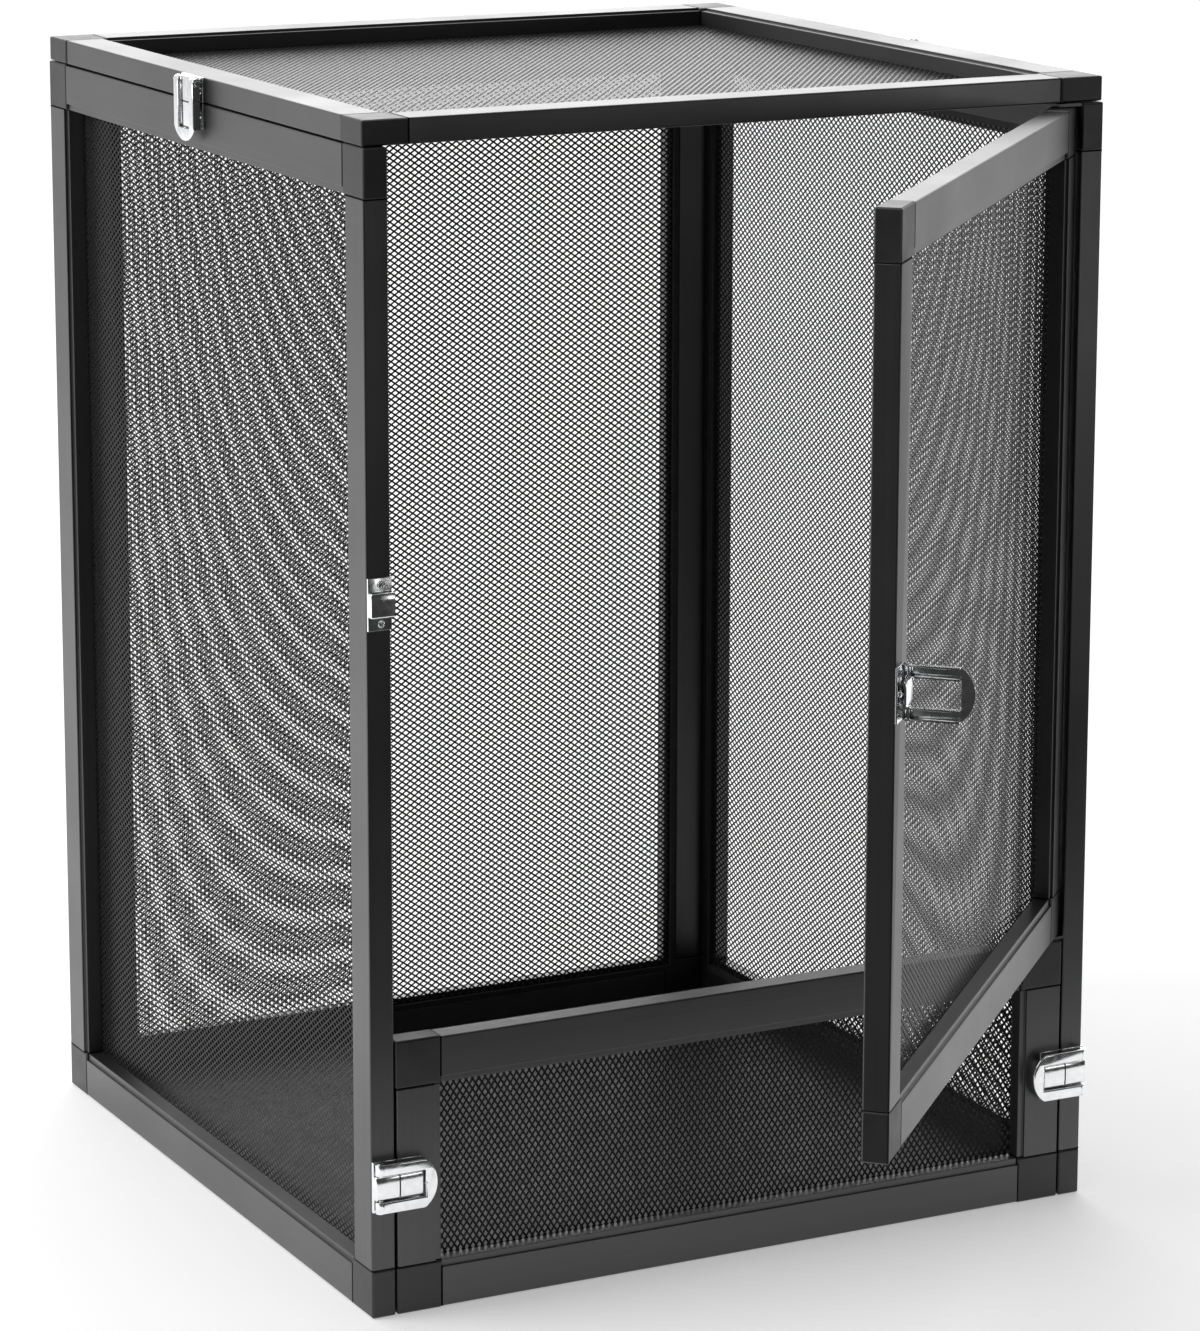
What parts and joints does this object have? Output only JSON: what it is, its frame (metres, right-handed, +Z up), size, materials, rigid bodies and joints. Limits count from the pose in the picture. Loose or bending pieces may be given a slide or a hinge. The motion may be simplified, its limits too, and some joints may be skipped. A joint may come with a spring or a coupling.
{
  "type": "reptile terrarium",
  "caption": "Upright screened pet enclosure: framed mesh walls, lift-off mesh lid, hinged mesh front door over a removable lower panel, chrome swing latches.",
  "frame": {"origin": "middle of the floor board's underside, between the side walls", "axes": "+Z up, -Y towards the door, +X to the right as seen from the front"},
  "size_m": [0.433, 0.7113, 0.6064],
  "materials": {
    "coated_aluminium": "satin black powder coat",
    "connector_plastic": "fine-grained charcoal plastic",
    "screen_mesh": "black coated wire mesh",
    "spline_rubber": "matte black",
    "chrome": "bright plated steel",
    "floor_board": "plain black sheet"
  },
  "bodies": {
    "enclosure": {"left_front_post": "coated_aluminium", "left_rear_post": "coated_aluminium", "left_top_rail": "coated_aluminium", "left_bottom_rail": "coated_aluminium", "left_corners": "connector_plastic", "left_screen": "screen_mesh", "right_front_post": "coated_aluminium", "right_rear_post": "coated_aluminium", "right_top_rail": "coated_aluminium", "right_bottom_rail": "coated_aluminium", "right_corners": "connector_plastic", "right_screen": "screen_mesh", "back_left_stile": "coated_aluminium", "back_right_stile": "coated_aluminium", "back_top_rail": "coated_aluminium", "back_bottom_rail": "coated_aluminium", "back_corners": "connector_plastic", "back_screen": "screen_mesh", "floor_board": "floor_board", "enclosure_splines": "spline_rubber", "lower_latch_plates": "chrome", "door_keeper": "chrome", "lid_keepers": "chrome", "hinge_brackets": "chrome", "hinge_pins": "chrome", "enclosure_screws": "chrome"},
    "lower_panel": {"panel_left_stile": "coated_aluminium", "panel_right_stile": "coated_aluminium", "panel_top_rail": "coated_aluminium", "panel_bottom_rail": "coated_aluminium", "panel_corners": "connector_plastic", "panel_screen": "screen_mesh", "panel_spline": "spline_rubber", "panel_keepers": "chrome", "panel_screws": "chrome"},
    "door": {"door_latch_stile": "coated_aluminium", "door_hinge_stile": "coated_aluminium", "door_top_rail": "coated_aluminium", "door_bottom_rail": "coated_aluminium", "door_corners": "connector_plastic", "door_screen": "screen_mesh", "door_spline": "spline_rubber", "door_latch_plate": "chrome", "door_screws": "chrome"},
    "lid": {"lid_front_rail": "coated_aluminium", "lid_rear_rail": "coated_aluminium", "lid_left_rail": "coated_aluminium", "lid_right_rail": "coated_aluminium", "lid_corners": "connector_plastic", "lid_screen": "screen_mesh", "lid_spline": "spline_rubber", "lid_latch_plates": "chrome", "lid_screws": "chrome"},
    "lower_lever_left": {"lower_latch_left": "chrome"},
    "lower_lever_right": {"lower_latch_right": "chrome"},
    "lid_lever_left": {"lid_latch_left": "chrome"},
    "lid_lever_right": {"lid_latch_right": "chrome"},
    "door_lever": {"door_latch": "chrome"}
  },
  "joints": [
    {"name": "door_swing", "type": "hinge", "parent": "enclosure", "child": "door", "pos_m": [0.1897, -0.2035, 0.369], "axis": [0, 0, 1], "range_deg": [-46, 44]},
    {"name": "door_latch_turn", "type": "hinge", "parent": "door", "child": "door_lever", "pos_m": [-0.06415, -0.4812, 0.369], "axis": [0, 0, 1], "range_deg": [-90, 60]},
    {"name": "lid_lift", "type": "slide", "parent": "enclosure", "child": "lid", "axis": [0, 0, 1], "range_m": [0, 0.15]},
    {"name": "lid_latch_left_turn", "type": "hinge", "parent": "lid", "child": "lid_lever_left", "pos_m": [-0.2138, 0, 0.6034], "axis": [0, 1, 0], "range_deg": [0, 150]},
    {"name": "lid_latch_right_turn", "type": "hinge", "parent": "lid", "child": "lid_lever_right", "pos_m": [0.2138, 0, 0.6034], "axis": [0, -1, 0], "range_deg": [0, 150]},
    {"name": "panel_pull", "type": "slide", "parent": "enclosure", "child": "lower_panel", "axis": [0, -1, 0], "range_m": [0, 0.02]},
    {"name": "lower_latch_left_turn", "type": "hinge", "parent": "enclosure", "child": "lower_lever_left", "pos_m": [-0.2068, -0.2138, 0.07], "axis": [0, 0, -1], "range_deg": [0, 150]},
    {"name": "lower_latch_right_turn", "type": "hinge", "parent": "enclosure", "child": "lower_lever_right", "pos_m": [0.2068, -0.2138, 0.07], "axis": [0, 0, 1], "range_deg": [0, 150]}
  ],
  "couplings": [
    {"joint": "lower_latch_left_turn", "follows": "panel_pull", "rad_per_m": 130.8},
    {"joint": "lower_latch_right_turn", "follows": "panel_pull", "rad_per_m": 130.8}
  ]
}
